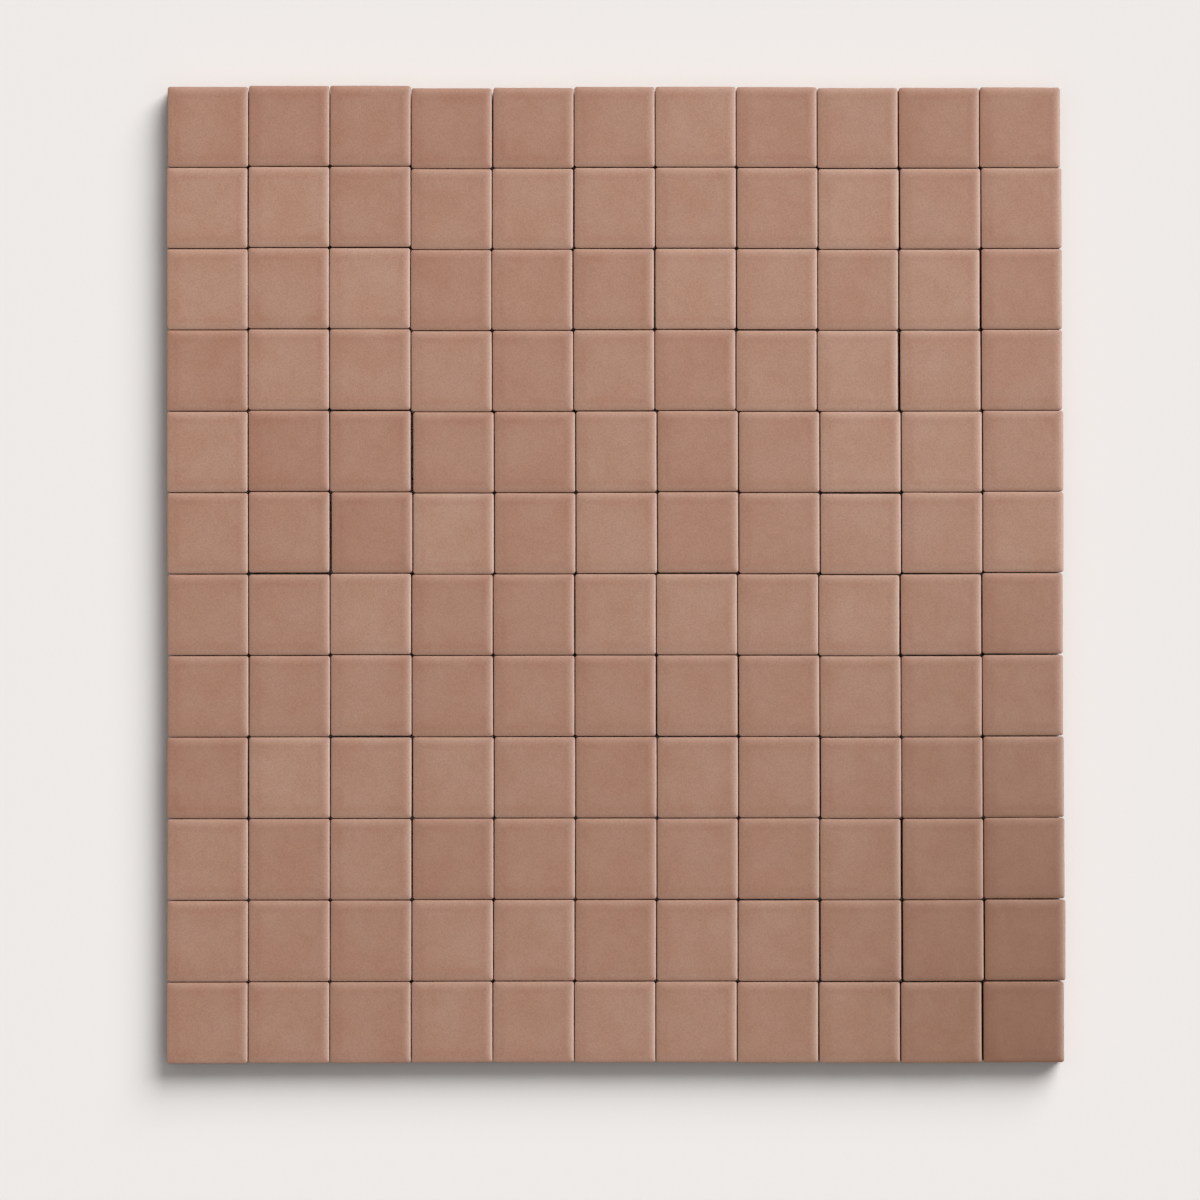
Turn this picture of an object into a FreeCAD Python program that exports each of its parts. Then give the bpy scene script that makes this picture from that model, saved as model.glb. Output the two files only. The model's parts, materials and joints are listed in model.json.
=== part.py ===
"""A sheet of small square ceramic mosaic tiles, bedded on an open glass-fibre net.

The sheet lies face up. The origin is the centre of the net's underside, +Z points out of the
glazed faces, +X runs to the right along the rows and +Y runs up the columns, so row 1 is the
top one and column 1 the left one. Sizes are in millimetres and angles in degrees.
"""

import FreeCAD
import Part
import os
import random
from FreeCAD import Vector
from Sketcher import Constraint

# Driving sizes: name, value, meaning
SIZES = [
    ("columns", 11, "tiles in a row"),
    ("rows", 12, "rows of tiles"),
    ("tile_width", 25.16, "face of one square tile, edge to edge"),
    ("tile_thickness", 8.0, "one tile, from its back to its face"),
    ("side_draft", 1.2, "lean of the tile's sides, which narrow towards the back"),
    ("corner_cut", 0.8, "how far each upright corner is taken back along the sides"),
    ("cushion_width", 2.8, "gentle slope round the face, measured in from the edge"),
    ("cushion_drop", 0.3, "fall of that slope"),
    ("cushion_break", 0.35, "share of the slope's width, from the edge, that is the steeper"),
    ("arris_width", 0.18, "rounded edge below the slope, measured in from the edge"),
    ("arris_drop", 0.25, "rounded edge below the slope, measured down the side"),
    ("arris_fullness", 0.3, "how near the rounded edge comes to square, 0.5 being a plain bevel"),
    ("column_joint", 0.21, "mean open joint between two columns"),
    ("row_joint", 0.17, "mean open joint between two rows"),
    ("turn", 0.4, "share of a joint by which the most turned tile's side runs out of true"),
    ("strand_width", 0.9, "one strand of the net, across"),
    ("strand_thickness", 0.25, "one strand of the net, through"),
    ("strand_pitch", 5.0, "strands of the net, centre to centre"),
    ("net_margin", 2.5, "from the outer edges of the tiles in to the edge of the net"),
]
SIZE = {name: value for name, value, meaning in SIZES}

# The tiles were laid by hand. An ordinary joint counts as 1, give or take this much, and the
# joints that stand out are given as (row, column of the tile before it): how many times as wide.
UNEVENNESS = 0.15
WIDE_COLUMN_JOINTS = {
    (1, 4): 2.5, (1, 9): 2,
    (2, 1): 2, (2, 5): 2.5, (2, 7): 2, (2, 9): 2.5, (2, 10): 1.5,
    (3, 5): 2.5, (3, 6): 3.5, (3, 7): 2.5, (3, 9): 2.5, (3, 10): 5,
    (4, 9): 4.5, (4, 10): 2,
    (5, 3): 3.5,
    (6, 2): 3,
    (7, 3): 1.5, (7, 5): 2, (7, 9): 2.5, (7, 10): 2,
    (8, 6): 2, (8, 7): 2,
    (9, 1): 2, (9, 3): 2, (9, 8): 2,
    (10, 3): 2, (10, 9): 3,
    (11, 8): 2.5, (11, 9): 3, (11, 10): 2,
    (12, 8): 2, (12, 9): 2, (12, 10): 3.5,
}
WIDE_ROW_JOINTS = {
    (1, 9): 2,
    (2, 3): 2,
    (3, 8): 2,
    (4, 3): 2.5,
    (5, 9): 4,
    (6, 2): 3, (6, 7): 2.5, (6, 9): 2, (6, 10): 2.5, (6, 11): 2,
    (7, 10): 2.5, (7, 11): 3,
    (8, 3): 3, (8, 7): 2, (8, 9): 2, (8, 11): 2,
    (10, 8): 2, (10, 11): 2.5,
    (11, 9): 2.5, (11, 10): 2.5, (11, 11): 2.5,
}
# How far a column starts above and ends below its even line, and a row starts left and ends
# right of its own, counted in joints
COLUMN_ENDS = {
    1: (-0.5, 0), 2: (1.5, -0.5), 3: (2, -0.5), 4: (-2.5, -1), 5: (-1.5, -1), 6: (0.5, -0.5),
    7: (1, -0.5), 8: (0.5, 0.5), 9: (-1, 1), 10: (-0.5, 1.5), 11: (0.5, 0.5),
}
ROW_ENDS = {
    1: (0, -2.5), 2: (1, -0.5), 3: (0.5, -0.5), 4: (0.5, -0.5), 5: (0.5, 1), 6: (0, 1),
    7: (-0.5, -0.5), 8: (-1, -0.5), 9: (0, 0.5), 10: (-0.5, 1), 11: (-0.5, 2), 12: (0, -0.5),
}
# Tiles that sit plainly askew: share of the full turn, anticlockwise counting as positive
ASKEW = {(1, 11): -1, (2, 3): 0.7, (7, 9): -0.8, (8, 10): -0.8, (6, 10): -0.7, (11, 10): 0.7}
LAYING_SEED = 11

doc = FreeCAD.newDocument("mosaic_tile_sheet")


def make_sizes():
    """Keeps the driving sizes in a spreadsheet, each in a cell of its own name."""
    cells = doc.addObject("Spreadsheet::Sheet", "Sizes")
    for line, (name, value, meaning) in enumerate(SIZES, start=1):
        cells.set(f"A{line}", name)
        cells.set(f"B{line}", str(value))
        cells.set(f"C{line}", meaning)
        cells.setAlias(f"B{line}", name)
    doc.recompute()


def ground_sketch(body, name):
    """An empty sketch on the body's ground plane."""
    sketch = body.newObject("Sketcher::SketchObject", name)
    ground = next(plane for plane in body.Origin.OriginFeatures if plane.Role == "XY_Plane")
    sketch.AttachmentSupport = (ground, [""])
    sketch.MapMode = "FlatFace"
    return sketch


def bind(sketch, name, constraint, expression):
    """Adds a constraint to a sketch and lets an expression drive it."""
    number = sketch.addConstraint(constraint)
    sketch.renameConstraint(number, name)
    sketch.setExpression(f"Constraints.{name}", expression)


def closed_outline(sketch, points):
    """Draws straight lines from point to point and back to the first."""
    ends = points[1:] + points[:1]
    sketch.addGeometry([Part.LineSegment(a, b) for a, b in zip(points, ends)])
    count = len(points)
    for line in range(count):
        sketch.addConstraint(Constraint("Coincident", line, 2, (line + 1) % count, 1))


# The tile's profile from its back to the flat of its face: distance in from the side, and height
RIM = "(Sizes.tile_thickness - Sizes.cushion_drop)"
SHOULDER = f"({RIM} - Sizes.arris_drop)"
PROFILE = [
    ("back", f"{SHOULDER} * tan(Sizes.side_draft * 1deg)", "0"),
    ("shoulder", "0", SHOULDER),
    (
        "rounding",
        "Sizes.arris_width * Sizes.arris_fullness",
        f"{RIM} - Sizes.arris_drop * Sizes.arris_fullness",
    ),
    ("rim", "Sizes.arris_width", RIM),
    (
        "slope",
        "Sizes.arris_width + Sizes.cushion_width * Sizes.cushion_break",
        "Sizes.tile_thickness - Sizes.cushion_drop * (1 - Sizes.cushion_break)^3",
    ),
    ("flat", "Sizes.arris_width + Sizes.cushion_width", "Sizes.tile_thickness"),
]


def tile_profile(name, facing):
    """The upright outline of a tile, the same on both sides of its middle line."""
    sketch = doc.addObject("Sketcher::SketchObject", name)
    sketch.Placement.Rotation = facing
    start, x_axis, y_axis = 1, -1, -2
    levels = len(PROFILE)
    right = [Vector(2 * levels - step, step, 0) for step in range(levels)]
    left = [Vector(-corner.x, corner.y, 0) for corner in reversed(right)]
    closed_outline(sketch, right + left)
    for step, (level, inset, height) in enumerate(PROFILE):
        mirrored = 2 * levels - 1 - step
        across = Constraint("DistanceX", mirrored, start, step, start, 2 * right[step].x)
        upward = Constraint("DistanceY", x_axis, start, step, start, right[step].y)
        sketch.addConstraint(Constraint("Symmetric", step, start, mirrored, start, y_axis))
        bind(sketch, f"{level}_width", across, f"Sizes.tile_width - 2 * ({inset})")
        if height == "0":
            sketch.addConstraint(Constraint("PointOnObject", step, start, x_axis))
        else:
            bind(sketch, f"{level}_height", upward, height)
    return sketch


def corner_outline():
    """A square that stands on its corner, seen from above: it takes off the tile's four corners."""
    sketch = doc.addObject("Sketcher::SketchObject", "corner_outline")
    corners = [Vector(9, 0, 0), Vector(0, 9, 0), Vector(-9, 0, 0), Vector(0, -9, 0)]
    closed_outline(sketch, corners)
    right, top, left, bottom = range(4)
    drawn = 2 * corners[right].x
    start, x_axis, y_axis = 1, -1, -2
    reach = "2 * (Sizes.tile_width - Sizes.corner_cut)"
    sketch.addConstraint(Constraint("Symmetric", left, start, right, start, y_axis))
    sketch.addConstraint(Constraint("Symmetric", bottom, start, top, start, x_axis))
    sketch.addConstraint(Constraint("PointOnObject", right, start, x_axis))
    sketch.addConstraint(Constraint("PointOnObject", top, start, y_axis))
    bind(sketch, "across", Constraint("DistanceX", left, start, right, start, drawn), reach)
    bind(sketch, "along", Constraint("DistanceY", bottom, start, top, start, drawn), reach)
    return sketch


def drawn_out(sketch):
    """A bar with the sketch as its section, well longer than the tile each way."""
    bar = doc.addObject("Part::Extrusion", f"{sketch.Name}_bar")
    bar.Base = sketch
    bar.DirMode = "Normal"
    bar.Solid = True
    bar.Symmetric = True
    bar.setExpression("LengthFwd", "2 * Sizes.tile_width + 2 * Sizes.tile_thickness")
    return bar


def make_tile():
    """One pressed tile, which is all that its two profiles and its corner outline share."""
    along_row = FreeCAD.Rotation(Vector(1, 0, 0), 90)
    up_column = FreeCAD.Rotation(Vector(1, 1, 1), 120)
    outlines = [
        tile_profile("profile_across", along_row),
        tile_profile("profile_along", up_column),
        corner_outline(),
    ]
    tile = doc.addObject("Part::MultiCommon", "tile")
    tile.Shapes = [drawn_out(outline) for outline in outlines]
    return tile


def joint_shares(wide, lanes, joints, dice):
    """How far along its lane each tile lies, as the share of the lane's open joints before it."""
    shares = {}
    for lane in range(1, lanes + 1):
        widths = []
        for joint in range(1, joints + 1):
            ordinary = dice.uniform(1 - UNEVENNESS, 1 + UNEVENNESS)
            widths.append(wide.get((lane, joint), ordinary))
        for tile in range(joints + 1):
            shares[lane, tile + 1] = sum(widths[:tile]) / sum(widths)
    return shares


def place_in_lane(tile, share, ends, joints, joint):
    """The distance from a lane's even start to the middle of one of its tiles."""
    start, end = ends
    open_length = f"({joints} + {start + end}) * {joint}"
    return f"{tile - 0.5} * Sizes.tile_width - {start} * {joint} + {share:.3f} * {open_length}"


# Half the sheet of tiles each way
HALF_WIDTH = "(Sizes.columns * Sizes.tile_width + (Sizes.columns - 1) * Sizes.column_joint) / 2"
HALF_HEIGHT = "(Sizes.rows * Sizes.tile_width + (Sizes.rows - 1) * Sizes.row_joint) / 2"


def lay_tiles(tile):
    """Lays one linked copy of the tile in each place and gathers every row into one piece."""
    dice = random.Random(LAYING_SEED)
    columns, rows = SIZE["columns"], SIZE["rows"]
    along_row = joint_shares(WIDE_COLUMN_JOINTS, rows, columns - 1, dice)
    by_column = {(column, row): width for (row, column), width in WIDE_ROW_JOINTS.items()}
    down_column = joint_shares(by_column, columns, rows - 1, dice)
    for row in range(1, rows + 1):
        laid = []
        for column in range(1, columns + 1):
            copy = doc.addObject("App::Link", f"tile_{row:02d}_{column:02d}")
            copy.LinkedObject = tile
            across = place_in_lane(
                column, along_row[row, column], ROW_ENDS.get(row, (0, 0)),
                "Sizes.columns - 1", "Sizes.column_joint",
            )
            down = place_in_lane(
                row, down_column[column, row], COLUMN_ENDS.get(column, (0, 0)),
                "Sizes.rows - 1", "Sizes.row_joint",
            )
            askew = ASKEW.get((row, column), dice.uniform(-0.5, 0.5))
            lean = f"{askew:.2f} * Sizes.turn * Sizes.row_joint / Sizes.tile_width"
            copy.setExpression("Placement.Base.x", f"{across} - {HALF_WIDTH}")
            copy.setExpression("Placement.Base.y", f"{HALF_HEIGHT} - ({down})")
            copy.setExpression("Placement.Base.z", "2 * Sizes.strand_thickness")
            copy.setExpression("Placement.Rotation.Angle", f"asin({lean})")
            laid.append(copy)
        gathered = doc.addObject("Part::Compound", f"row_{row:02d}")
        gathered.Links = laid
        gathered.Label = f"tile_row_{row:02d}"
        pieces.append(gathered)


def strands_each_side(half):
    """Strands between the middle strand and the net's edge, for half of the tiles' extent."""
    return f"floor(({half} - Sizes.net_margin - Sizes.strand_width / 2) / Sizes.strand_pitch)"


def make_strands(label, half_across, half_along, height, turned):
    """One layer of the net: even parallel strands, the middle one through the origin."""
    body = doc.addObject("PartDesign::Body", label)
    body.Label = label
    sketch = ground_sketch(body, "strand_outline")
    corners = [Vector(-1, -9, 0), Vector(1, -9, 0), Vector(1, 9, 0), Vector(-1, 9, 0)]
    near, far = corners[0], corners[2]
    closed_outline(sketch, corners)
    for kind, line in (("Horizontal", 0), ("Vertical", 1), ("Horizontal", 2), ("Vertical", 3)):
        sketch.addConstraint(Constraint(kind, line))
    one_side = strands_each_side(half_across)
    length = f"2 * ({half_along} - Sizes.net_margin)"
    bind(sketch, "width", Constraint("DistanceX", 0, 1, 0, 2, far.x - near.x), "Sizes.strand_width")
    bind(sketch, "length", Constraint("DistanceY", 1, 1, 1, 2, far.y - near.y), length)
    bind(sketch, "from_middle", Constraint("DistanceY", 0, 1, -1, 1, -near.y), f"({length}) / 2")
    first = f"{one_side} * Sizes.strand_pitch + Sizes.strand_width / 2"
    bind(sketch, "from_centre", Constraint("DistanceX", 0, 1, -1, 1, -near.x), first)
    strand = body.newObject("PartDesign::Pad", "strand")
    strand.Profile = sketch
    strand.setExpression("Length", "Sizes.strand_thickness")
    doc.recompute()
    repeat = body.newObject("PartDesign::LinearPattern", "all_strands")
    repeat.Originals = [strand]
    repeat.Direction = (sketch, ["H_Axis"])
    repeat.setExpression("Length", f"2 * {one_side} * Sizes.strand_pitch")
    repeat.setExpression("Occurrences", f"2 * {one_side} + 1")
    body.Tip = repeat
    body.setExpression("Placement.Base.z", height)
    if turned:
        body.Placement.Rotation = FreeCAD.Rotation(Vector(0, 0, 1), 90)
    pieces.append(body)


def write_pieces():
    """Builds everything, checks it and writes one file for each piece."""
    doc.recompute()
    for thing in doc.Objects:
        assert not {"Invalid", "Error"} & set(thing.State), f"{thing.Label} is {thing.State}"
    os.makedirs("parts", exist_ok=True)
    for piece in pieces:
        shape = piece.Shape
        assert not shape.isNull() and shape.isValid(), f"{piece.Label} has a bad shape"
        shape.exportStep(f"parts/{piece.Label}.step")


pieces = []
make_sizes()
lay_tiles(make_tile())
make_strands("net_warp", HALF_WIDTH, HALF_HEIGHT, "0", False)
make_strands("net_weft", HALF_HEIGHT, HALF_WIDTH, "Sizes.strand_thickness", True)
write_pieces()
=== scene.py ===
import cmath
import json
import math
import random

import bmesh
import bpy
from mathutils import Matrix, Vector

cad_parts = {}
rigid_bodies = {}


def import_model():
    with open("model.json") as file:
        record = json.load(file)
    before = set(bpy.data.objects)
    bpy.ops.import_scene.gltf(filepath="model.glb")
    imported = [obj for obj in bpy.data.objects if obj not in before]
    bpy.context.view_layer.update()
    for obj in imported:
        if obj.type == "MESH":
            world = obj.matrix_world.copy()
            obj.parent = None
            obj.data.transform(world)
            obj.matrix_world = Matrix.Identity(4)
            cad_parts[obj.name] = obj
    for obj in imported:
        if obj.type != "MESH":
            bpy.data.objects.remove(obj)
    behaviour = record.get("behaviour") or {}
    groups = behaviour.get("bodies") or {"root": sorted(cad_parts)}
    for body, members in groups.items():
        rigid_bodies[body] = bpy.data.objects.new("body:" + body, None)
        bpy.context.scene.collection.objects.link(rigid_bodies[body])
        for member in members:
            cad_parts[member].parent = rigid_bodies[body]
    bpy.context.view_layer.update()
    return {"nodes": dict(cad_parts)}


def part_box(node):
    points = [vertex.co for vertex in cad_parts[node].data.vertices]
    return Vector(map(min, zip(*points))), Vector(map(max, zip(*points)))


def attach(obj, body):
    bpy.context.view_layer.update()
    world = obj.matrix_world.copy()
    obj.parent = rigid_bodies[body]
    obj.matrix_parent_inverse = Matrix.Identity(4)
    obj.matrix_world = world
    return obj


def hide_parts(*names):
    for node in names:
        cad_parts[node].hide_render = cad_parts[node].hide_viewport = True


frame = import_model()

# The lengthwise strands of the backing net. Each is a flat yarn of glass fibre dipped in resin,
# and passes in turn over and under the crosswise strands. The tiles' backs are glued to them.
MM = 0.001
STRAND_PITCH = 5 * MM
YARN_WIDTH = 0.88 * MM
YARN_THICKNESS = 0.24 * MM
YARN_ROUNDING = 0.08 * MM
YARN_SMOOTH_BELOW = math.radians(50)
NET_MIDDLE = 0.25 * MM
YARN_CRIMP = 0.95 * (NET_MIDDLE - YARN_THICKNESS / 2)
YARN_COLOUR = (0.74, 0.72, 0.64, 1)
YARN_SHADE = (0.50, 0.47, 0.38, 1)
YARN_ROUGHNESS = 0.42
FILAMENT_SCALE = 6000.0
FILAMENT_DRAWN_OUT = 0.05
FILAMENT_RELIEF = 0.02 * MM
RESIN_SCALE = 300.0
# Near enough, where points and faces are picked by their place or by the way they face
NEAR = 0.1 * MM
MOSTLY = 0.9


def deselect_all():
    """Leaves nothing selected, so that an operator acts only on what is made next."""
    for thing in bpy.context.scene.objects:
        thing.select_set(False)


def pick(kind, wanted):
    """In edit mode, selects only the vertices, edges or faces whose middle passes the test."""
    mesh = bmesh.from_edit_mesh(bpy.context.object.data)
    bpy.ops.mesh.select_all(action="DESELECT")
    bpy.ops.mesh.select_mode(type=kind)
    for part in {"VERT": mesh.verts, "EDGE": mesh.edges, "FACE": mesh.faces}[kind]:
        corners = [part.co] if kind == "VERT" else [vert.co for vert in part.verts]
        if wanted(sum(corners, Vector()) / len(corners), part):
            part.select_set(True)
    mesh.select_flush_mode()
    bmesh.update_edit_mesh(bpy.context.object.data)


def runs_along(edge, axis):
    """True for an edge that lies along an axis, 0 for X to 2 for Z."""
    line = edge.verts[1].co - edge.verts[0].co
    return abs(line[axis]) > MOSTLY * line.length


def joined(pieces, name):
    """Joins like pieces into one, the first of them."""
    deselect_all()
    for piece in pieces:
        piece.select_set(True)
    whole = pieces[0]
    bpy.context.view_layer.objects.active = whole
    bpy.ops.object.join()
    whole.name = name
    return whole


def woven_strand(name, crossings, overhang, rises_first):
    """One strand along X: it rises at one crossing and dips at the next, all along its length."""
    deselect_all()
    span = (crossings - 1) * STRAND_PITCH
    bpy.ops.mesh.primitive_cube_add(size=1, scale=(span, YARN_WIDTH, YARN_THICKNESS))
    strand = bpy.context.object
    strand.name = name
    bpy.ops.object.transform_apply(location=True, rotation=True, scale=True)
    bpy.ops.object.mode_set(mode="EDIT")
    pick("EDGE", lambda middle, edge: runs_along(edge, 0))
    bpy.ops.mesh.subdivide(number_cuts=2 * (crossings - 1) - 1)
    pick("EDGE", lambda middle, edge: runs_along(edge, 0))
    bpy.ops.mesh.bevel(offset=YARN_ROUNDING, segments=1, affect="EDGES")
    for parity, way in ((0, 1), (1, -1)):
        first = parity if rises_first else 1 - parity

        def at_crossing(middle, vert):
            place = (middle.x + span / 2) / STRAND_PITCH
            return abs(place - round(place)) < 0.1 and round(place) % 2 == first

        pick("VERT", at_crossing)
        bpy.ops.transform.translate(value=(0, 0, way * YARN_CRIMP))
    for end in (-1, 1):
        pick("FACE", lambda middle, face: end * middle.x > span / 2 - NEAR)
        bpy.ops.mesh.extrude_region_move(
            TRANSFORM_OT_translate={"value": (end * overhang, 0, 0)}
        )
    bpy.ops.object.mode_set(mode="OBJECT")
    return strand


def laid_side_by_side(strand, copies):
    """Repeats a strand at every second place, so that its opposite fits in between."""
    rank = strand.modifiers.new("rank", "ARRAY")
    rank.use_relative_offset = False
    rank.use_constant_offset = True
    rank.constant_offset_displace = (0, 2 * STRAND_PITCH, 0)
    rank.count = copies
    bpy.context.view_layer.objects.active = strand
    bpy.ops.object.modifier_apply(modifier=rank.name)


def strand_layer(name, node, along):
    """All the strands of one direction, as one piece that stands for its layer in the frame."""
    low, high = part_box(node)
    across = 1 - along
    crossings = 2 * math.floor((high[along] - low[along]) / 2 / STRAND_PITCH) + 1
    strands = round((high[across] - low[across] - YARN_WIDTH) / STRAND_PITCH) + 1
    overhang = (high[along] - low[along] - (crossings - 1) * STRAND_PITCH) / 2
    rising = along == 1
    even = woven_strand(name, crossings, overhang, rising)
    laid_side_by_side(even, strands - strands // 2)
    odd = woven_strand(name + "_between", crossings, overhang, not rising)
    odd.data.transform(Matrix.Translation((0, STRAND_PITCH, 0)))
    laid_side_by_side(odd, strands // 2)
    layer = joined((even, odd), name)
    first = -(strands - 1) / 2 * STRAND_PITCH
    layer.data.transform(Matrix.Translation((0, first, NET_MIDDLE)))
    if along == 1:
        layer.data.transform(Matrix.Rotation(math.radians(-90), 4, "Z"))
    bpy.ops.object.shade_smooth_by_angle(angle=YARN_SMOOTH_BELOW)
    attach(layer, "root")
    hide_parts(node)
    return layer


def feed(tree, socket, value):
    """Gives an input its plain value, or links it to the output that the value comes from."""
    if isinstance(value, bpy.types.NodeSocket):
        tree.links.new(value, socket)
    else:
        socket.default_value = value


def new_node(tree, kind, **inputs):
    """Adds a node and feeds its inputs, each named with _ for a space."""
    made = tree.nodes.new(kind)
    for label, value in inputs.items():
        feed(tree, made.inputs[label.replace("_", " ")], value)
    return made


def worked_out(tree, operation, *values):
    """One step of arithmetic on values that change over the surface."""
    step = tree.nodes.new("ShaderNodeMath")
    step.operation = operation
    for socket, value in zip(step.inputs, values):
        feed(tree, socket, value)
    return step.outputs[0]


def mixed(tree, share, first, second, way="MIX"):
    """A blend of two colours, each a plain colour or a socket."""
    blend = tree.nodes.new("ShaderNodeMix")
    blend.data_type = "RGBA"
    blend.blend_type = way
    sockets = (blend.inputs[0], blend.inputs[6], blend.inputs[7])
    for socket, value in zip(sockets, (share, first, second)):
        feed(tree, socket, value)
    return blend.outputs[2]


def ranged(tree, value, low, high, to_low=0.0, to_high=1.0):
    """A value eased from one range into another."""
    made = new_node(
        tree, "ShaderNodeMapRange", Value=value, From_Min=low, From_Max=high,
        To_Min=to_low, To_Max=to_high,
    )
    made.interpolation_type = "SMOOTHSTEP"
    return made.outputs[0]


def new_group(name, inputs, outputs):
    """An empty shader group with named sockets, and its input and output nodes."""
    group = bpy.data.node_groups.new(name, "ShaderNodeTree")
    for label, kind, value in inputs:
        socket = group.interface.new_socket(label, in_out="INPUT", socket_type=kind)
        if value is not None:
            socket.default_value = value
    for label, kind in outputs:
        group.interface.new_socket(label, in_out="OUTPUT", socket_type=kind)
    return group, group.nodes.new("NodeGroupInput"), group.nodes.new("NodeGroupOutput")


def place_group(tree, group, **inputs):
    """Puts a shader group into a material with that material's own values."""
    made = tree.nodes.new("ShaderNodeGroup")
    made.node_tree = group
    for label, value in inputs.items():
        feed(tree, made.inputs[label.replace("_", " ")], value)
    return made


def new_material(name, **constants):
    """A material with one Principled shader and its plain values; gives its tree and shader."""
    material = bpy.data.materials.new(name)
    material.use_nodes = True
    shader = material.node_tree.nodes["Principled BSDF"]
    for label, value in constants.items():
        shader.inputs[label.replace("_", " ")].default_value = value
    return material, material.node_tree, shader


fibres, fibres_in, fibres_out = new_group(
    "yarn_fibres",
    [("Vector", "NodeSocketVector", None), ("Fibre Size", "NodeSocketFloat", FILAMENT_SCALE)],
    [("Shade", "NodeSocketFloat"), ("Height", "NodeSocketFloat")],
)
filaments = new_node(
    fibres, "ShaderNodeTexNoise", Vector=fibres_in.outputs["Vector"],
    Scale=fibres_in.outputs["Fibre Size"], Detail=3.0,
)
resin_runs = new_node(
    fibres, "ShaderNodeTexNoise", Vector=fibres_in.outputs["Vector"], Scale=RESIN_SCALE
)
resin_over_fibres = worked_out(fibres, "MULTIPLY", filaments.outputs[0], resin_runs.outputs[0])
fibres.links.new(filaments.outputs[0], fibres_out.inputs["Height"])
fibres.links.new(ranged(fibres, resin_over_fibres, 0.12, 0.45), fibres_out.inputs["Shade"])


def yarn_material(name, along):
    """Resin-coated glass yarn, its filaments drawn out along the strand."""
    material, tree, shader = new_material(
        name, Roughness=YARN_ROUGHNESS, Specular_IOR_Level=0.5
    )
    place = new_node(tree, "ShaderNodeTexCoord").outputs["Object"]
    drawn_out = [1, 1, 1]
    drawn_out[along] = FILAMENT_DRAWN_OUT
    drawn = new_node(tree, "ShaderNodeMapping", Vector=place, Scale=drawn_out)
    yarn = place_group(tree, fibres, Vector=drawn.outputs[0], Fibre_Size=FILAMENT_SCALE)
    colour = mixed(tree, yarn.outputs["Shade"], YARN_SHADE, YARN_COLOUR)
    tree.links.new(colour, shader.inputs["Base Color"])
    relief = new_node(
        tree, "ShaderNodeBump", Height=yarn.outputs["Height"], Distance=FILAMENT_RELIEF,
        Strength=0.6,
    )
    tree.links.new(relief.outputs[0], shader.inputs["Normal"])
    return material


warp = strand_layer("net_lengthwise", "net_warp", 1)
warp.data.materials.append(yarn_material("glass_yarn_lengthwise", 1))

# The crosswise strands, of the same yarn. They dip where the lengthwise strands rise, which
# locks the net, and it is laid face up against the backs of the tiles.
weft = strand_layer("net_crosswise", "net_weft", 0)
weft.data.materials.append(yarn_material("glass_yarn_crosswise", 0))

# The tiles. Each is dust-pressed clay, about 25 mm square, with drafted sides, a cushioned face
# and a satin glaze that thins over its edges, where a highlight is painted too. They were laid
# face down by hand in a tray.
TILE_SIDE = 25.16 * MM
TILE_THICKNESS = 8 * MM
SIDE_DRAFT = math.radians(1.2)
CORNER_RADIUS = 0.8 * MM
TILE_SMOOTH_BELOW = math.radians(35)
ARRIS_WIDTH = 0.18 * MM
ARRIS_DROP = 0.25 * MM
CUSHION_WIDTH = 2.8 * MM
CUSHION_DROP = 0.3 * MM
SIDE_CUTS = (-9.3, -6.2, -3.1, 0, 3.1, 6.2, 9.3)
SHOULDER = TILE_THICKNESS - CUSHION_DROP - ARRIS_DROP
# The face in profile, from the shoulder inwards: distance in from the side, and height
FACE_PROFILE = [
    (ARRIS_WIDTH * (1 - math.cos(lean)), SHOULDER + ARRIS_DROP * math.sin(lean))
    for lean in (math.radians(30 * step) for step in range(1, 4))
] + [
    (ARRIS_WIDTH + CUSHION_WIDTH * run, TILE_THICKNESS - CUSHION_DROP * (1 - run) ** 3)
    for run in (0.12, 0.25, 0.4, 0.6, 1)
]
GLAZE_WAVINESS = 0.10 * MM
GLAZE_WAVE_SIZE = 9 * MM
UNWAVED_FOOT = 1 * MM
ROWS = 12
# The tiles whose tone stands out, by row and column: below 0 is deeper and above 0 paler, where
# most tiles lie between -1 and 1
ODD_TONES = {
    (1, 4): -2, (1, 10): -2, (1, 11): -1.5, (5, 2): -2, (5, 5): -1, (7, 4): -1, (7, 11): -2,
    (9, 6): -1.5, (9, 10): -1, (10, 4): -2, (10, 11): -1.5,
    (2, 1): 2, (2, 9): 2, (3, 1): 2, (3, 7): 2, (4, 9): 2, (5, 1): 1.5, (5, 9): 2.5, (5, 10): 2,
}
TONE_SPREAD = 3
BATCHES = 50
LAYING_SEED = 5


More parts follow.
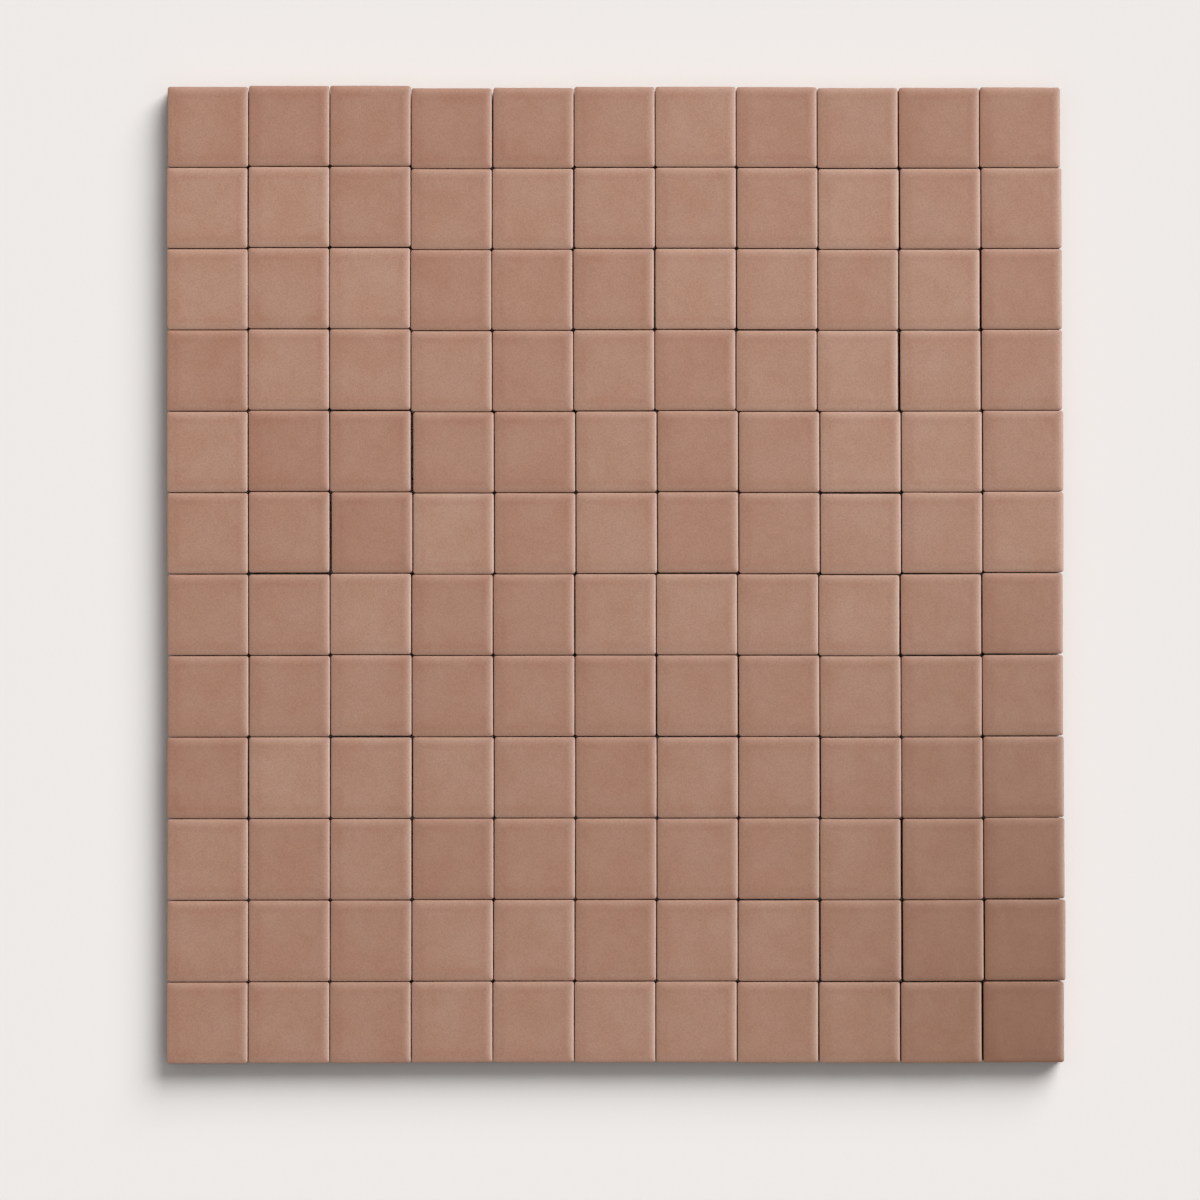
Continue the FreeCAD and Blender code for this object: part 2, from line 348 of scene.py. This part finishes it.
def tile_blank():
    """One tile at the origin, with its back on the ground and its glazed face up."""
    deselect_all()
    bpy.ops.mesh.primitive_cube_add(
        size=1, location=(0, 0, SHOULDER / 2), scale=(TILE_SIDE, TILE_SIDE, SHOULDER)
    )
    tile = bpy.context.object
    tile.name = "tile_blank"
    bpy.ops.object.transform_apply(location=True, rotation=True, scale=True)
    bpy.ops.object.mode_set(mode="EDIT")
    pick("FACE", lambda middle, face: face.normal.z < -MOSTLY)
    narrowed = 1 - 2 * SHOULDER * math.tan(SIDE_DRAFT) / TILE_SIDE
    bpy.ops.transform.resize(value=(narrowed, narrowed, 1), center_override=(0, 0, 0))
    pick("EDGE", lambda middle, edge: runs_along(edge, 2))
    bpy.ops.mesh.bevel(offset=CORNER_RADIUS, segments=4, affect="EDGES")
    for cut in SIDE_CUTS:
        for normal in ((1, 0, 0), (0, 1, 0)):
            bpy.ops.mesh.select_all(action="SELECT")
            bpy.ops.mesh.bisect(plane_co=Vector(normal) * cut * MM, plane_no=normal)
    inset, height = 0, SHOULDER
    for next_inset, next_height in FACE_PROFILE:
        pick("FACE", lambda middle, face: face.normal.z > MOSTLY and middle.z > height - NEAR / 10)
        bpy.ops.mesh.extrude_region_move(
            TRANSFORM_OT_translate={"value": (0, 0, next_height - height)}
        )
        shrunk = (TILE_SIDE / 2 - next_inset) / (TILE_SIDE / 2 - inset)
        bpy.ops.transform.resize(value=(shrunk, shrunk, 1), center_override=(0, 0, 0))
        inset, height = next_inset, next_height
    bpy.ops.object.mode_set(mode="OBJECT")
    bpy.ops.object.shade_smooth_by_angle(angle=TILE_SMOOTH_BELOW)
    verts = tile.data.vertices
    place = tile.data.attributes.new("place", "FLOAT_VECTOR", "POINT")
    place.data.foreach_set("vector", [number for vert in verts for number in vert.co])
    glazed = tile.vertex_groups.new(name="face_and_sides")
    glazed.add([vert.index for vert in verts if vert.co.z > UNWAVED_FOOT], 1, "REPLACE")
    return tile


def tile_places(node):
    """Where each tile of a row lies in the frame: its middle, the height of its back, its turn."""
    deselect_all()
    row = frame["nodes"][node]
    outline = bpy.data.objects.new("outline", row.data.copy())
    bpy.context.scene.collection.objects.link(outline)
    outline.select_set(True)
    bpy.context.view_layer.objects.active = outline
    bpy.ops.object.mode_set(mode="EDIT")
    bpy.ops.mesh.select_all(action="SELECT")
    bpy.ops.mesh.remove_doubles(threshold=NEAR / 100)
    bpy.ops.mesh.separate(type="LOOSE")
    bpy.ops.object.mode_set(mode="OBJECT")
    places = []
    for part in list(bpy.context.selected_objects):
        points = [vert.co.copy() for vert in part.data.vertices]
        foot = min(point.z for point in points)
        base = [point for point in points if point.z < foot + NEAR]
        middle = sum(base, Vector()) / len(base)
        # A square looks the same after each quarter turn, so the fourth power gives its turn
        spin = sum(complex(point.x - middle.x, point.y - middle.y) ** 4 for point in base)
        turn = cmath.phase(-spin) / 4
        places.append((middle.x, middle.y, foot, turn))
        bpy.data.objects.remove(part)
    return sorted(places)


def mark(tile, name, value):
    """Writes one number all over a tile, for its glaze to read."""
    marks = tile.data.attributes.new(name, "FLOAT", "POINT")
    marks.data.foreach_set("value", [value] * len(tile.data.vertices))


def row_of_tiles(number, blank, ripple, dice):
    """The tiles of one row, copied from the blank onto their places in the frame."""
    node = f"tile_row_{number:02d}"
    laid = []
    for x, y, foot, turn in tile_places(node):
        tile = blank.copy()
        tile.data = blank.data.copy()
        bpy.context.scene.collection.objects.link(tile)
        quarter = math.radians(90 * dice.randrange(4))
        tile.data.transform(Matrix.Rotation(turn + quarter, 4, "Z"))
        tile.data.transform(Matrix.Translation((x, y, foot)))
        mark(tile, "tone", ODD_TONES.get((number, len(laid) + 1), dice.gauss(0, 1)))
        mark(tile, "batch", dice.uniform(0, BATCHES))
        laid.append(tile)
    row = joined(laid, f"tiles_row_{number:02d}")
    glaze_flow = row.modifiers.new("glaze_flow", "DISPLACE")
    glaze_flow.texture = ripple
    glaze_flow.texture_coords = "LOCAL"
    glaze_flow.strength = GLAZE_WAVINESS
    glaze_flow.mid_level = 1
    glaze_flow.vertex_group = "face_and_sides"
    bpy.ops.object.modifier_apply(modifier=glaze_flow.name)
    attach(row, "root")
    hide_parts(node)


# The glaze's colours: its pale and deep blotches, where it is thin and has a painted highlight,
# on the tile's sides, the tints of the deepest and palest tiles, its specks, and where it pools
GLAZE_PALE = (0.348, 0.1785, 0.113, 1)
GLAZE_DEEP = (0.336, 0.161, 0.0955, 1)
GLAZE_THIN_AND_HIGHLIGHT = (0.64, 0.42, 0.34, 1)
GLAZE_WALL = (0.24, 0.10, 0.058, 1)
TONE_DEEPEST = (0.90, 0.82, 0.77, 1)
TONE_PALEST = (1.10, 1.18, 1.23, 1)
SPECK_DARK = (0.90, 0.885, 0.88, 1)
SPECK_PALE = (1.09, 1.11, 1.12, 1)
POOLED_TINT = (0.93, 0.89, 0.875, 1)
# It pools towards the tile's corners, measured from its middle, and thins, paler and with a
# painted highlight, over the cushion and the arris, measured as the larger of the distances
# across and down
POOLS_BETWEEN = (9 * MM, 17.5 * MM)
THIN_AND_HIGHLIGHT_BETWEEN = (9.9 * MM, 13.0 * MM)
THIN_AND_HIGHLIGHT_SHARE = 0.17
CORNER_EASE = 1 * MM
# A faint line where it gathers at the foot of the cushion, stronger and weaker by turns
CUSHION_FOOT = TILE_SIDE / 2 - ARRIS_WIDTH - CUSHION_WIDTH
FOOT_LINE_INSIDE = 1.9 * MM
FOOT_LINE_OUTSIDE = 1.1 * MM
FOOT_LINE_TINT = (0.96, 0.915, 0.90, 1)
FOOT_LINE_SCALE = 160.0
FOOT_LINE_SHARES = (0.4, 1.05)
# The face's colour gives way to that of the sides between these heights
FACE_BETWEEN = (SHOULDER + 0.03 * MM, SHOULDER + 0.25 * MM)
SIDE_SPECULAR = 0.1
FACE_SPECULAR = 0.5
GLAZE_BLOTCH_SCALE = 90.0
GLAZE_GRAIN_SCALE = 2200.0
GLAZE_ROUGHNESS = (0.44, 0.52)
RIM_ROUGHNESS = 0.33
RIM_BETWEEN = (11.6 * MM, 12.5 * MM)
SWELL_SCALE = 220.0
SWELL_RELIEF = 0.05 * MM
GRAIN_RELIEF = 0.006 * MM
# The bare clay, below an uneven line where the glaze stopped running
CLAY = (0.25, 0.145, 0.10, 1)
CLAY_DARK = (0.20, 0.113, 0.078, 1)
CLAY_ROUGHNESS = 0.9
GLAZE_LINE = (5.5 * MM, 6.3 * MM)
GLAZE_LINE_SWING = 3 * MM
GLAZE_LINE_SCALE = 250.0
# Painted shade makes the sheet darker and redder towards its lower right corner, and painted
# light makes it paler further up
SHADED_CORNER = (140 * MM, -152 * MM, 0)
CORNER_SHADE_REACH = (112 * MM, 182 * MM, 1)
CORNER_SHADE_TINT = (0.66, 0.545, 0.405, 1)
UP_THE_SHEET = (-90 * MM, 120 * MM)
PAINTED_LIGHT_UP = (0.945, 1.035)

mottle, mottle_in, mottle_out = new_group(
    "kiln_mottle",
    [
        ("Vector", "NodeSocketVector", None),
        ("Batch", "NodeSocketFloat", 0.0),
        ("Blotch Size", "NodeSocketFloat", 120.0),
        ("Grain Size", "NodeSocketFloat", 2500.0),
    ],
    [("Blotches", "NodeSocketFloat"), ("Grain", "NodeSocketFloat")],
)
blotches = new_node(
    mottle, "ShaderNodeTexNoise", Vector=mottle_in.outputs["Vector"],
    Scale=mottle_in.outputs["Blotch Size"], Detail=3.0, Roughness=0.55,
)
blotches.noise_dimensions = "4D"
mottle.links.new(mottle_in.outputs["Batch"], blotches.inputs["W"])
grains = new_node(
    mottle, "ShaderNodeTexNoise", Vector=mottle_in.outputs["Vector"],
    Scale=mottle_in.outputs["Grain Size"], Detail=2.0,
)
mottle.links.new(ranged(mottle, blotches.outputs[0], 0.3, 0.7), mottle_out.inputs["Blotches"])
mottle.links.new(ranged(mottle, grains.outputs[0], 0.25, 0.75), mottle_out.inputs["Grain"])


def tile_note(tree, name):
    """What each tile carries about itself: its own place, its tone or its batch."""
    note = tree.nodes.new("ShaderNodeAttribute")
    note.attribute_name = name
    return note


def distance(tree, vector):
    """The length of a vector that changes over the surface."""
    measured = new_node(tree, "ShaderNodeVectorMath", Vector=vector)
    measured.operation = "LENGTH"
    return measured.outputs["Value"]


def tinted(tree, colour, tint):
    """A colour as it looks through a tint."""
    return mixed(tree, 1.0, colour, tint, "MULTIPLY")


def face_glaze(tree, place, own, pattern, reach):
    """The glaze on a face, from its own pattern out to painted shade and light across the sheet.
    """
    on_face = new_node(tree, "ShaderNodeCombineXYZ", X=own.outputs["X"], Y=own.outputs["Y"])
    pooled = ranged(tree, distance(tree, on_face.outputs[0]), *POOLS_BETWEEN)
    colour = mixed(tree, pattern.outputs["Blotches"], GLAZE_DEEP, GLAZE_PALE)
    colour = mixed(tree, pooled, colour, tinted(tree, colour, POOLED_TINT))
    # Paler over the cushion and arris: partly the glaze's own colour where it thins, partly a
    # painted highlight along every edge
    thin_and_highlit = ranged(tree, reach, *THIN_AND_HIGHLIGHT_BETWEEN, 0, THIN_AND_HIGHLIGHT_SHARE)
    colour = mixed(tree, thin_and_highlit, colour, GLAZE_THIN_AND_HIGHLIGHT)

    gathers = ranged(tree, reach, CUSHION_FOOT - FOOT_LINE_INSIDE, CUSHION_FOOT)
    thins_again = ranged(tree, reach, CUSHION_FOOT, CUSHION_FOOT + FOOT_LINE_OUTSIDE, 1, 0)
    trickles = new_node(
        tree, "ShaderNodeTexNoise", Vector=place, Scale=FOOT_LINE_SCALE, Detail=1.0
    )
    uneven = ranged(tree, trickles.outputs[0], 0.3, 0.65, *FOOT_LINE_SHARES)
    foot_line = worked_out(tree, "MINIMUM", gathers, thins_again)
    foot_line = worked_out(tree, "MULTIPLY", foot_line, uneven)
    colour = mixed(tree, foot_line, colour, tinted(tree, colour, FOOT_LINE_TINT))

    speckle = mixed(tree, pattern.outputs["Grain"], SPECK_DARK, SPECK_PALE)
    colour = tinted(tree, colour, speckle)
    tone = new_node(
        tree, "ShaderNodeMapRange", Value=tile_note(tree, "tone").outputs["Fac"],
        From_Min=-TONE_SPREAD, From_Max=TONE_SPREAD,
    )
    colour = tinted(tree, colour, mixed(tree, tone.outputs[0], TONE_DEEPEST, TONE_PALEST))

    # Painted shade: darker and redder towards the sheet's lower right corner
    from_corner = new_node(tree, "ShaderNodeMapping", Vector=place)
    from_corner.vector_type = "TEXTURE"
    from_corner.inputs["Location"].default_value = SHADED_CORNER
    from_corner.inputs["Scale"].default_value = CORNER_SHADE_REACH
    out_of_corner_shade = ranged(tree, distance(tree, from_corner.outputs[0]), 0, 1)
    colour = tinted(tree, colour, mixed(tree, out_of_corner_shade, CORNER_SHADE_TINT, (1, 1, 1, 1)))
    # Painted light: paler further up the sheet
    up_sheet = new_node(tree, "ShaderNodeSeparateXYZ", Vector=place)
    return tinted(tree, colour, ranged(tree, up_sheet.outputs["Y"], *UP_THE_SHEET, *PAINTED_LIGHT_UP))


def glazed_tile_material():
    """Satin glaze over the face and upper sides, bare clay below it and on the back."""
    material, tree, shader = new_material("satin_glaze", IOR=1.5)
    link = tree.links.new
    place = new_node(tree, "ShaderNodeTexCoord").outputs["Object"]
    own_place = tile_note(tree, "place").outputs["Vector"]
    pattern = place_group(
        tree, mottle, Vector=own_place, Batch=tile_note(tree, "batch").outputs["Fac"],
        Blotch_Size=GLAZE_BLOTCH_SCALE, Grain_Size=GLAZE_GRAIN_SCALE,
    )
    own = new_node(tree, "ShaderNodeSeparateXYZ", Vector=own_place)
    across, down = (worked_out(tree, "ABSOLUTE", own.outputs[axis]) for axis in ("X", "Y"))
    reach = worked_out(tree, "SMOOTH_MAX", across, down, CORNER_EASE)

    on_top = ranged(tree, own.outputs["Z"], *FACE_BETWEEN)
    glaze_colour = mixed(
        tree, on_top, GLAZE_WALL, face_glaze(tree, place, own, pattern, reach)
    )
    shine = new_node(tree, "ShaderNodeMix", Factor=on_top, A=SIDE_SPECULAR, B=FACE_SPECULAR)
    link(shine.outputs[0], shader.inputs["Specular IOR Level"])

    clay_colour = mixed(tree, pattern.outputs["Blotches"], CLAY_DARK, CLAY)
    runs = new_node(tree, "ShaderNodeTexNoise", Vector=place, Scale=GLAZE_LINE_SCALE)
    run_height = worked_out(
        tree, "MULTIPLY_ADD", runs.outputs[0], GLAZE_LINE_SWING, own.outputs["Z"]
    )
    glazed = ranged(tree, run_height, *GLAZE_LINE)
    link(mixed(tree, glazed, clay_colour, glaze_colour), shader.inputs["Base Color"])

    satin = ranged(tree, pattern.outputs["Blotches"], 0, 1, *GLAZE_ROUGHNESS)
    rim = ranged(tree, reach, *RIM_BETWEEN)
    brighter = new_node(tree, "ShaderNodeMix", Factor=rim, A=satin, B=RIM_ROUGHNESS)
    finish = new_node(
        tree, "ShaderNodeMix", Factor=glazed, A=CLAY_ROUGHNESS, B=brighter.outputs[0]
    )
    link(finish.outputs[0], shader.inputs["Roughness"])

    swell = new_node(
        tree, "ShaderNodeTexNoise", Vector=place, Scale=SWELL_SCALE, Detail=1.0
    )
    waves = new_node(
        tree, "ShaderNodeBump", Height=swell.outputs[0], Distance=SWELL_RELIEF, Strength=1
    )
    fine = new_node(
        tree, "ShaderNodeBump", Height=pattern.outputs["Grain"], Distance=GRAIN_RELIEF,
        Strength=1, Normal=waves.outputs[0],
    )
    link(fine.outputs[0], shader.inputs["Normal"])
    return material


blank = tile_blank()
blank.data.materials.append(glazed_tile_material())
ripple = bpy.data.textures.new("glaze_ripple", "CLOUDS")
ripple.noise_scale = GLAZE_WAVE_SIZE
ripple.noise_depth = 1
dice = random.Random(LAYING_SEED)
for number in range(1, ROWS + 1):
    row_of_tiles(number, blank, ripple, dice)
bpy.data.objects.remove(blank)

# The glue. Beads of white glue, squeezed on in short lines, hold each tile's back to the net and
# have set around the strands. They are seen only from behind, through the openings of the net.
BEAD_LENGTH = 9 * MM
BEAD_WIDTH = 2.2 * MM
BEAD_LOW = 0.06 * MM
BEAD_HIGH = 0.5 * MM
BEADS_EACH_SIDE = 5.5 * MM
# How far the beads differ, squeezed out by hand: in length, width, lean and place
BEAD_LENGTHS = (0.7, 1.15)
BEAD_WIDTHS = (0.8, 1.2)
BEAD_LEAN = 25
BEAD_ASTRAY_ACROSS = 3
BEAD_ASTRAY_DOWN = 1
GLUE_ROUGHNESS = 0.35
GLUE_BLOTCH_SCALE = 400.0
GLUE_LUMP_SCALE = 1500.0
GLUE_LUMP_RELIEF = 0.03 * MM
GLUE_COLOUR = (0.78, 0.77, 0.72, 1)
GLUE_SHADE = (0.66, 0.63, 0.55, 1)


def glue_bead(name):
    """One low bead of glue at the origin, lying along X."""
    deselect_all()
    bpy.ops.mesh.primitive_uv_sphere_add(
        segments=12, ring_count=6, radius=0.5, location=(0, 0, (BEAD_LOW + BEAD_HIGH) / 2),
        scale=(BEAD_LENGTH, BEAD_WIDTH, BEAD_HIGH - BEAD_LOW),
    )
    bead = bpy.context.object
    bead.name = name
    bpy.ops.object.transform_apply(location=True, rotation=True, scale=True)
    bpy.ops.object.shade_smooth()
    return bead


def glue_material():
    """Dried white glue: a little glossy, with a faint yellow cast in blotches."""
    material, tree, shader = new_material("dried_glue", Roughness=GLUE_ROUGHNESS)
    place = new_node(tree, "ShaderNodeTexCoord").outputs["Object"]
    pattern = place_group(
        tree, mottle, Vector=place, Blotch_Size=GLUE_BLOTCH_SCALE, Grain_Size=GLUE_LUMP_SCALE
    )
    colour = mixed(tree, pattern.outputs["Blotches"], GLUE_SHADE, GLUE_COLOUR)
    tree.links.new(colour, shader.inputs["Base Color"])
    lumps = new_node(
        tree, "ShaderNodeBump", Height=pattern.outputs["Grain"], Distance=GLUE_LUMP_RELIEF
    )
    tree.links.new(lumps.outputs[0], shader.inputs["Normal"])
    return material


def squeezed_bead(bead, x, y, dice):
    """A copy of the bead, squeezed out near a point under a tile."""
    squeezed = bead.copy()
    squeezed.data = bead.data.copy()
    bpy.context.scene.collection.objects.link(squeezed)
    shape = (dice.uniform(*BEAD_LENGTHS), dice.uniform(*BEAD_WIDTHS), 1, 1)
    lean = math.radians(dice.uniform(-BEAD_LEAN, BEAD_LEAN))
    across = x + dice.uniform(-BEAD_ASTRAY_ACROSS, BEAD_ASTRAY_ACROSS) * MM
    down = y + dice.uniform(-BEAD_ASTRAY_DOWN, BEAD_ASTRAY_DOWN) * MM
    squeezed.data.transform(Matrix.Diagonal(shape))
    squeezed.data.transform(Matrix.Rotation(lean, 4, "Z"))
    squeezed.data.transform(Matrix.Translation((across, down, 0)))
    return squeezed


bead = glue_bead("bead")
bead.data.materials.append(glue_material())
beads = [
    squeezed_bead(bead, place[0], place[1] + side * BEADS_EACH_SIDE, dice)
    for number in range(1, ROWS + 1)
    for place in tile_places(f"tile_row_{number:02d}")
    for side in (-1, 1)
]
bpy.data.objects.remove(bead)
glue = joined(beads, "glue_beads")
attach(glue, "root")

# The floor is a plain pale board that the sheet lies on. It is painted dead matt, and is wide
# enough for every view.
FLOOR_WIDTH = 12
FLOOR_COLOUR = (0.855, 0.823, 0.799, 1)
deselect_all()
bpy.ops.mesh.primitive_plane_add(size=FLOOR_WIDTH, location=(0, 0, 0))
floor = bpy.context.object
floor.name = "floor"
floor_paint = new_material(
    "floor_paint", Base_Color=FLOOR_COLOUR, Roughness=1.0, Specular_IOR_Level=0.0
)[0]
floor.data.materials.append(floor_paint)

# The light is one large soft lamp at the upper right, and a plain pale room that is brightest
# overhead. A second lamp, at the right, adds only its sheen on the glaze, as a window would.
LAMP_TOWARDS = Vector((0.77, 1.14, 1))
LAMP_STRENGTH = 3.65
LAMP_SOFTNESS = math.radians(44)
SHEEN_LAMP_TOWARDS = Vector((0.85, 0.0, 1))
SHEEN_LAMP_STRENGTH = 3.0
ROOM_RISE = 0.35
ROOM_LOW = 0.03
ROOM_HIGH = 0.586


def soft_lamp(name, towards, strength):
    """A wide lamp far off in one direction."""
    lamp_data = bpy.data.lights.new(name, "SUN")
    lamp_data.energy = strength
    lamp_data.angle = LAMP_SOFTNESS
    lamp = bpy.data.objects.new(name, lamp_data)
    lamp.rotation_euler = towards.to_track_quat("Z", "Y").to_euler()
    bpy.context.scene.collection.objects.link(lamp)
    return lamp


soft_lamp("soft_lamp", LAMP_TOWARDS, LAMP_STRENGTH)
sheen_lamp = soft_lamp("sheen_lamp", SHEEN_LAMP_TOWARDS, SHEEN_LAMP_STRENGTH)
sheen_lamp.visible_diffuse = False

room = bpy.data.worlds.new("room")
bpy.context.scene.world = room
room.use_nodes = True
room_tree = room.node_tree
backdrop = room_tree.nodes["Background"]
rays = new_node(room_tree, "ShaderNodeLightPath")
towards_sky = new_node(room_tree, "ShaderNodeTexCoord").outputs["Generated"]
height = new_node(room_tree, "ShaderNodeSeparateXYZ", Vector=towards_sky).outputs["Z"]
overhead = ranged(room_tree, height, ROOM_RISE, 1, ROOM_LOW, ROOM_HIGH)
# The camera and the glossy and clear surfaces see the room in the floor's colour
shown = rays.outputs["Is Camera Ray"]
for ray in ("Is Glossy Ray", "Is Transmission Ray"):
    shown = worked_out(room_tree, "MAXIMUM", shown, rays.outputs[ray])
room_tree.links.new(mixed(room_tree, shown, overhead, FLOOR_COLOUR), backdrop.inputs["Color"])

# The camera looks down on the sheet from far off, a little from its lower left, with the first
# row at the top. So the sheet widens slightly towards the foot of the picture.
VIEW_DISTANCE = 2.0
VIEW_WIDTH = 373.2 * MM
VIEW_CENTRE = (-4.73 * MM, -7.9 * MM, 0)
VIEW_TURN = [math.radians(angle) for angle in (1.61, -1.23, -0.055)]
VIEW_LIMIT = 20
SENSOR_WIDTH = 36
FACE_HEIGHT = 2 * NET_MIDDLE + TILE_THICKNESS
camera_data = bpy.data.cameras.new("camera")
camera_data.sensor_width = SENSOR_WIDTH
camera_data.lens = SENSOR_WIDTH * (VIEW_DISTANCE - FACE_HEIGHT) / VIEW_WIDTH
camera_data.clip_end = VIEW_LIMIT
camera = bpy.data.objects.new("camera", camera_data)
camera.rotation_euler = VIEW_TURN
backed_off = camera.rotation_euler.to_matrix() @ Vector((0, 0, VIEW_DISTANCE))
camera.location = Vector(VIEW_CENTRE) + backed_off
bpy.context.scene.collection.objects.link(camera)
bpy.context.scene.camera = camera
bpy.context.scene.view_settings.view_transform = "Standard"
